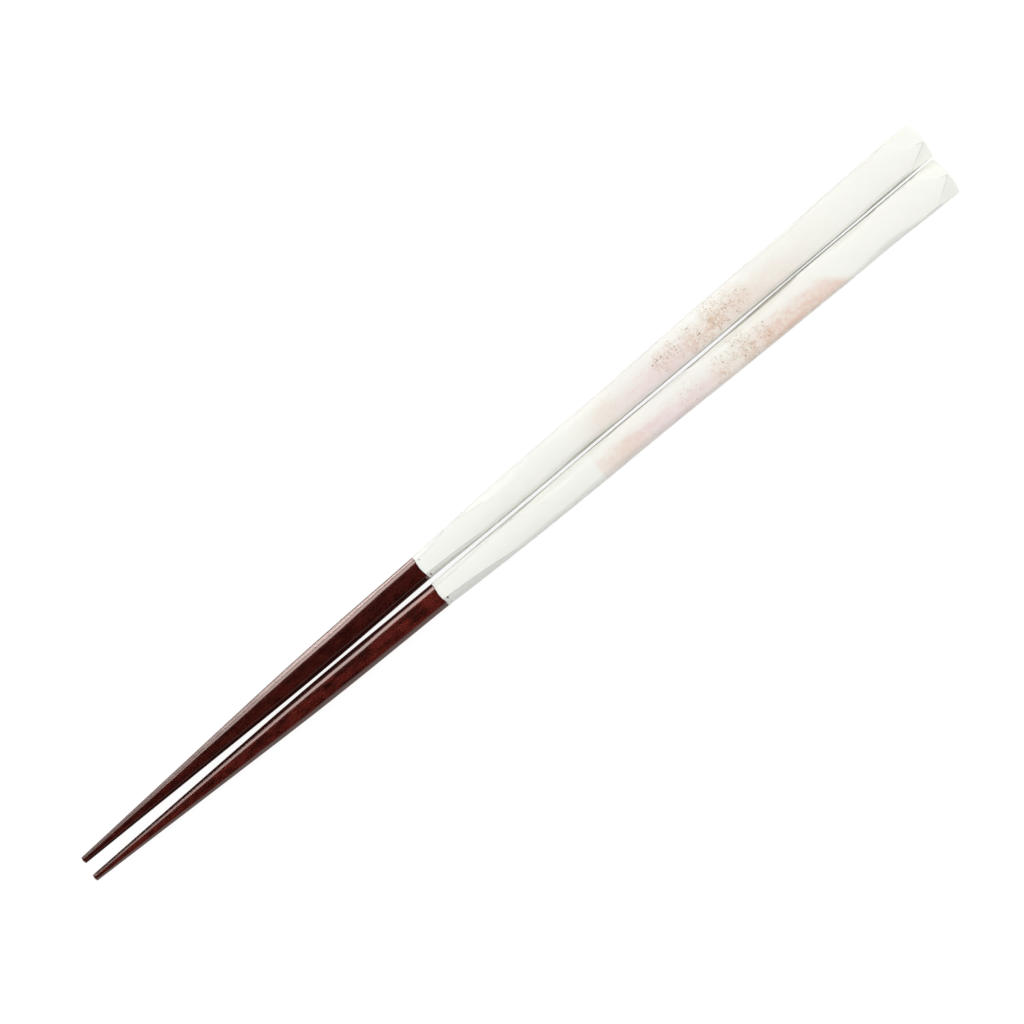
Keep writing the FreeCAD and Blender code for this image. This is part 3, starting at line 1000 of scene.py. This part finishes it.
def pink_band(shader, place, along, across, number):
    """How pink the clouded band is. Most of it lies on the -Y half of the stick."""
    wisps = shader.noise(shader.stretched(place, 0.16, 0.45), 1.0, 3.0, 0.6, 0.4)
    wavy = across + (wisps - 0.5) * 4.5
    if number == 1:         # fades in and out slowly
        band = along.smooth(39.0, 50.0) * along.smooth(112.0, 80.0)
        lean = wavy.smooth(2.6, -1.4) * across.smooth(-4.6, -3.0)
        strength = along.smooth(52.0, 60.0) * 0.10 + 0.36
    else:                   # starts at a line, ends on a slant, and drifts sideways between
        band = along.smooth(40.6, 41.6) * 0.6 + along.smooth(41.0, 47.0) * 0.4
        band = band * (along + across).smooth(102.5, 99.5)
        early = along.smooth(64.0, 50.0)
        centred = wavy.smooth(2.8, 0.0) * across.smooth(-4.2, -0.8)
        lower = (wavy + along * 0.02 - 1.1).smooth(2.6, -1.2) * across.smooth(-4.6, -2.2)
        lean = centred * early + lower * (1.0 - early)
        strength = (along.smooth(60.0, 50.0) * 0.12 + along.smooth(80.0, 62.0) * 0.18
                    + along.smooth(78.0, 88.0) * 0.46 + 0.32)
    return band * strength * (lean * 0.85 + 0.15)


def clouded_resin(colours, number):
    """Cream resin with a pale pink band and clusters of tarnished gold dust, with painted light by
    the joint and painted shade on the crisp ridges and at the joint's rim.
    """
    material = bpy.data.materials.new(f"clouded_resin_{number}")
    shader = Shader(material, "ShaderNodeOutputMaterial")
    place = shader.place()
    x, y, z = shader.split(place)
    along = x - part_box(f"handle_{number}")[0].x / MM        # millimetres from the joint
    across = y - HANDLE_MIDDLE[number]
    drift = shader.noise(shader.stretched(place, 0.10, 0.30), 1.0, 3.0, 0.55)
    mottle = shader.noise(place, 0.55, 4.0, 0.6)
    uneven = shader.noise(place, 0.9, 3.0, 0.6)
    cloudy = tuple(c * share for c, share in zip(colours.resin_cream, CREAM_SHARES))
    cream = shader.mix(mottle.smooth(0.35, 0.65) * 0.5, colours.resin_cream, cloudy)
    # Painted light: lighter cream near the joint stands in for brighter light there
    cream = shader.mix(along.smooth(26.0, 10.0) * 0.35, cream, NECK_PAINTED_LIGHT)
    patchy = drift.smooth(0.35, 0.65) * 0.25 + uneven.smooth(0.30, 0.70) * 0.35 + 0.65
    pink = pink_band(shader, place, along, across, number) * patchy
    cool = along.smooth(48.0, 56.0) * along.smooth(76.0, 66.0)
    tint = shader.mix(cool, colours.resin_pink, colours.resin_rose)
    colour = shader.mix(pink.least(1.0), cream, tint)
    blotch = clusters(along, across, WARM_PATCHES[number]) * uneven.smooth(0.38, 0.60)
    colour = shader.mix(blotch * 0.5, colour, BLOTCH)
    density = clusters(along, across, DUST_CLUSTERS[number])
    density = density * (uneven.smooth(0.28, 0.52) * 0.8 + 0.2)
    haze = shader.noise(place, 1.9, 3.0, 0.6).smooth(0.40, 0.66) * 0.34 + 0.08
    colour = shader.mix(density * haze, colour, DUST_HAZE)
    dust = gold_dust(shader, place, density, mottle)
    colour = shader.mix(dust, colour, colours.gold_dust)
    # Painted shade: crisp ridges are greyed, standing in for the shade and dark reflections along
    # them
    colour = shader.mix(shader.attribute("ridge") * 0.6, colour, RIDGE_PAINTED_SHADE)
    # Painted shade: the resin is greyed next to the wood, where shade falls at the joint
    colour = shader.mix(along.smooth(0.75, 0.25) * 0.3, colour, JOINT_PAINTED_SHADE)
    pits = clusters(along, across, RIM_PITS[number]) * z.smooth(3.4, 4.0)
    colour = shader.mix(pits * 0.85, colour, PIT_BROWN)
    ripple = shader.noise(shader.stretched(place, 0.18, 0.6), 1.0, 2.0, 0.5)
    grit = shader.noise(place, 9.0, 2.0, 0.5)
    height = ripple * 0.9 + grit * 0.05 + dust * 0.25
    surface = shader.node("ShaderNodeBsdfPrincipled", None, {
        "Base Color": colour, "Roughness": 0.34 + grit * 0.10 + dust * 0.1 - mottle * 0.06,
        "Metallic": dust * 0.35, "IOR": 1.45, "Specular IOR Level": 0.28,
        "Coat Weight": 0.05 + mottle * 0.2, "Coat Roughness": 0.16, "Coat IOR": 1.45,
        "Normal": shader.bump(height, RESIN_RELIEF, 0.6)})
    shader.finish(surface)
    return material


def grey(level):
    return level, level, level, 1.0


def floor_material():
    """Plain white floor that keeps a faint soft shadow."""
    material = bpy.data.materials.new("white_floor")
    shader = Shader(material, "ShaderNodeOutputMaterial")
    seen = seen_directly(shader)
    plain = shader.node("ShaderNodeBsdfDiffuse", inputs={"Color": grey(FLOOR_GREY)})
    thin = shader.node("ShaderNodeBsdfDiffuse", inputs={"Color": grey(SEEN_FLOOR_GREY)})
    glow = shader.node("ShaderNodeEmission", inputs={
        "Color": grey(1.0), "Strength": SEEN_FLOOR_GLOW})
    bright = shader.node("ShaderNodeAddShader", None, {0: thin, 1: glow})
    surface = shader.node("ShaderNodeMixShader", None, {0: seen, 1: plain, 2: bright})
    shader.finish(surface)
    return material


def seen_directly(shader):
    """1 for rays that show the background itself: camera, glossy and transmission rays."""
    rays = shader.node("ShaderNodeLightPath").socket.node.outputs
    camera, glossy, through = (Value(shader, rays[name]) for name in (
        "Is Camera Ray", "Is Glossy Ray", "Is Transmission Ray"))
    return camera.most(glossy).most(through)


# ---- operators --------------------------------------------------------------------

# Lamps: (place from the pair's middle, size, the visibility that is switched off)
LAMPS = {
    "key": ((0.0, 0.74, 0.67), (0.50, 0.80), None),
    "low": ((0.0, 1.0, 0.07), (0.40, 0.12), "visible_diffuse"),
    "overhead": ((0.0, 0.0, 1.5), (1.2, 1.2), "visible_glossy"),
    "end": ((0.50, -0.12, 0.13), (0.30, 0.20), None),
}
HORIZON_FADE = (0.35, 0.85)     # how high the studio starts to dim, and ends
FLOOR_REACH = 4.0
FLOOR_GAP = 0.00002             # keeps the floor just below the handles
CAMERA_PLACE = (0.00018, 0.00012)
CAMERA_CLIP = (0.05, 20.0)
SENSOR_WIDTH = 36.0


def put_in_part(piece, material, node):
    """Give a piece its material, and its place in the part."""
    piece.data.materials.append(material)
    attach(piece, "root")
    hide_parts(node)


class CHOPSTICKS_OT_shafts(bpy.types.Operator):
    """Carve the two tapered wooden shafts"""
    bl_idname = "chopsticks.shafts"
    bl_label = "Wooden Shafts"

    def execute(self, context):
        sizes = Sizes(context.scene.chopstick_sizes)
        for number in STICKS:
            piece = shaft_piece(Stick(sizes, number))
            material = lacquered_wood(context.scene.chopstick_finish, number)
            put_in_part(piece, material, f"shaft_{number}")
        return {"FINISHED"}


class CHOPSTICKS_OT_handles(bpy.types.Operator):
    """Cast the two resin handles"""
    bl_idname = "chopsticks.handles"
    bl_label = "Resin Handles"

    def execute(self, context):
        sizes = Sizes(context.scene.chopstick_sizes)
        for number in STICKS:
            piece = handle_piece(Stick(sizes, number))
            material = clouded_resin(context.scene.chopstick_finish, number)
            put_in_part(piece, material, f"handle_{number}")
        return {"FINISHED"}


def add_lamp(name, place, size, power, target):
    """Soft rectangular lamp that faces the target."""
    light = bpy.data.lights.new(name, "AREA")
    light.shape = "RECTANGLE"
    light.size, light.size_y = size
    light.energy = power
    lamp = bpy.data.objects.new(name, light)
    lamp.location = place
    lamp.rotation_mode = "QUATERNION"
    lamp.rotation_quaternion = (target - place).to_track_quat("-Z", "Y")
    lamp.visible_camera = False
    bpy.context.scene.collection.objects.link(lamp)
    return lamp


def studio_world(stage):
    """White studio: bright near the horizon, dim overhead, white where it is seen."""
    world = bpy.data.worlds.new("studio")
    bpy.context.scene.world = world
    shader = Shader(world, "ShaderNodeOutputWorld")
    direction = shader.node("ShaderNodeTexCoord", output="Generated")
    up = shader.split(direction)[2]
    fade = up.smooth(*HORIZON_FADE)
    strength = stage.horizon_light + fade * (stage.zenith_light - stage.horizon_light)
    camera = shader.node("ShaderNodeLightPath", output="Is Camera Ray")
    strength = strength + camera * (1.0 - strength)
    shader.finish(shader.node("ShaderNodeBackground", inputs={
        "Color": grey(1.0), "Strength": strength}))


class CHOPSTICKS_OT_stage(bpy.types.Operator):
    """Lay the floor and set up the lamps and the camera"""
    bl_idname = "chopsticks.stage"
    bl_label = "Stage"

    def execute(self, context):
        stage = context.scene.chopstick_stage
        low, high = CAD_BOX
        middle = (low + high) / 2.0
        floor_mesh = bpy.data.meshes.new("floor")
        shape = bmesh.new()
        bmesh.ops.create_grid(shape, x_segments=1, y_segments=1, size=FLOOR_REACH)
        shape.to_mesh(floor_mesh)
        shape.free()
        floor = bpy.data.objects.new("floor", floor_mesh)
        floor.location.z = low.z - FLOOR_GAP
        floor_mesh.materials.append(floor_material())
        context.scene.collection.objects.link(floor)

        for name, (place, size, hidden_from) in LAMPS.items():
            power = getattr(stage, f"{name}_power")
            lamp = add_lamp(f"{name}_lamp", middle + Vector(place), size, power, middle)
            if hidden_from:
                setattr(lamp, hidden_from, False)
        studio_world(stage)

        lens = bpy.data.cameras.new("camera")
        camera = bpy.data.objects.new("camera", lens)
        camera.location = (*CAMERA_PLACE, stage.view_height)
        camera.rotation_euler = (0.0, 0.0, -stage.view_turn)
        lens.sensor_width = SENSOR_WIDTH
        lens.lens = SENSOR_WIDTH * (stage.view_height - middle.z) / stage.view_width
        lens.clip_start, lens.clip_end = CAMERA_CLIP
        context.scene.collection.objects.link(camera)
        context.scene.camera = camera
        context.scene.view_settings.view_transform = "Standard"
        return {"FINISHED"}


class CHOPSTICKS_PT_panel(bpy.types.Panel):
    """Builds the pair of chopsticks and its stage"""
    bl_idname = "CHOPSTICKS_PT_panel"
    bl_label = "Table Chopsticks"
    bl_space_type = "VIEW_3D"
    bl_region_type = "UI"
    bl_category = "Chopsticks"

    def draw(self, context):
        for operator in OPERATORS:
            self.layout.operator(operator.bl_idname)
        for group in (context.scene.chopstick_sizes, context.scene.chopstick_finish,
                      context.scene.chopstick_stage):
            column = self.layout.column(align=True)
            for name in group.__annotations__:
                column.prop(group, name)


OPERATORS = (CHOPSTICKS_OT_shafts, CHOPSTICKS_OT_handles, CHOPSTICKS_OT_stage)
CLASSES = (SizeSettings, FinishSettings, StageSettings, *OPERATORS, CHOPSTICKS_PT_panel)


def register():
    for item in CLASSES:
        bpy.utils.register_class(item)
    bpy.types.Scene.chopstick_sizes = PointerProperty(type=SizeSettings)
    bpy.types.Scene.chopstick_finish = PointerProperty(type=FinishSettings)
    bpy.types.Scene.chopstick_stage = PointerProperty(type=StageSettings)


def unregister():
    for name in ("chopstick_stage", "chopstick_finish", "chopstick_sizes"):
        delattr(bpy.types.Scene, name)
    for item in reversed(CLASSES):
        bpy.utils.unregister_class(item)


def main():
    register()
    bpy.ops.chopsticks.shafts()
    bpy.ops.chopsticks.handles()
    bpy.ops.chopsticks.stage()


if __name__ == "__main__":
    main()
